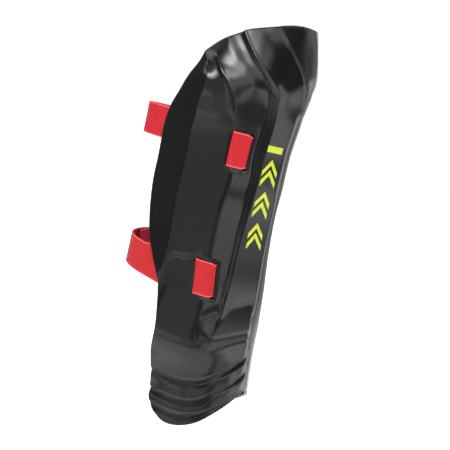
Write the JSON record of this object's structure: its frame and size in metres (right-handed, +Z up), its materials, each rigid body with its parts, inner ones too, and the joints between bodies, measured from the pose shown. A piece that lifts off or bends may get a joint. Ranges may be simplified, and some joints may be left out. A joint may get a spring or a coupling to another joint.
{
  "type": "ski racing shin guard",
  "caption": "Moulded gloss shin guard shell with a knee flare, a stepped ankle hem, a foam liner and elastic straps that close behind the calf.",
  "frame": {"origin": "the leg seat: the point on the liner's inner face, on the centre line and half-way up, that the shin lies against", "axes": "+Z up the leg, -Y out of the front of the shin, X across the guard"},
  "size_m": [0.1234, 0.1911, 0.3953],
  "materials": {
    "shell": "gloss black moulded polypropylene",
    "graphic_print": "printed neon yellow chevrons",
    "strap_webbing": "red woven elastic",
    "hook_and_loop": "black hook-and-loop tape",
    "liner_foam": "black perforated foam sheet with a knit face",
    "pad_cover": "black brushed knit over soft foam",
    "grip_rubber": "matt ribbed pull grip"
  },
  "bodies": {
    "guard": {"ankle_pad": "pad_cover", "knee_pad": "pad_cover", "liner": "liner_foam", "liner_loop_1_left": "hook_and_loop", "liner_loop_1_right": "hook_and_loop", "liner_loop_2_left": "hook_and_loop", "liner_loop_2_right": "hook_and_loop", "liner_loop_3_left": "hook_and_loop", "liner_loop_3_right": "hook_and_loop", "liner_loop_4_left": "hook_and_loop", "liner_loop_4_right": "hook_and_loop", "liner_loop_5_left": "hook_and_loop", "liner_loop_5_right": "hook_and_loop", "lower_strap_anchor_left": "strap_webbing", "lower_strap_anchor_right": "strap_webbing", "shell": "shell", "shell_hook_1_left": "hook_and_loop", "shell_hook_1_right": "hook_and_loop", "shell_hook_2_left": "hook_and_loop", "shell_hook_2_right": "hook_and_loop", "shell_hook_3_left": "hook_and_loop", "shell_hook_3_right": "hook_and_loop", "shell_hook_4_left": "hook_and_loop", "shell_hook_4_right": "hook_and_loop", "shell_hook_5_left": "hook_and_loop", "shell_hook_5_right": "hook_and_loop", "shin_pad_left": "pad_cover", "shin_pad_right": "pad_cover", "upper_strap_anchor_left": "strap_webbing", "upper_strap_anchor_right": "strap_webbing"},
    "upper_outer": {"upper_strap_outer": "strap_webbing"},
    "upper_tab": {"upper_strap_tab": "strap_webbing", "upper_strap_hook_tape": "hook_and_loop", "upper_strap_grip": "grip_rubber"},
    "upper_inner": {"upper_strap_inner": "strap_webbing", "upper_strap_loop_tape": "hook_and_loop"},
    "lower_outer": {"lower_strap_outer": "strap_webbing"},
    "lower_tab": {"lower_strap_tab": "strap_webbing", "lower_strap_hook_tape": "hook_and_loop", "lower_strap_grip": "grip_rubber"},
    "lower_inner": {"lower_strap_inner": "strap_webbing", "lower_strap_loop_tape": "hook_and_loop"}
  },
  "joints": [
    {"name": "upper_strap_open", "type": "hinge", "parent": "guard", "child": "upper_outer", "pos_m": [-0.03228, 0.12311, 0.084], "axis": [0, 0, 1], "range_deg": [0, 115]},
    {"name": "upper_tab_peel", "type": "hinge", "parent": "upper_outer", "child": "upper_tab", "pos_m": [0.00671, 0.15811, 0.084], "axis": [0, 0, 1], "range_deg": [0, 100]},
    {"name": "upper_inner_fold", "type": "hinge", "parent": "guard", "child": "upper_inner", "pos_m": [0.03228, 0.12311, 0.084], "axis": [0, 0, 1], "range_deg": [0, 20]},
    {"name": "lower_strap_open", "type": "hinge", "parent": "guard", "child": "lower_outer", "pos_m": [-0.04793, 0.09498, -0.05], "axis": [0, 0, 1], "range_deg": [0, 115]},
    {"name": "lower_tab_peel", "type": "hinge", "parent": "lower_outer", "child": "lower_tab", "pos_m": [0.00933, 0.137, -0.05], "axis": [0, 0, 1], "range_deg": [0, 100]},
    {"name": "lower_inner_fold", "type": "hinge", "parent": "guard", "child": "lower_inner", "pos_m": [0.04793, 0.09498, -0.05], "axis": [0, 0, 1], "range_deg": [0, 20]}
  ]
}
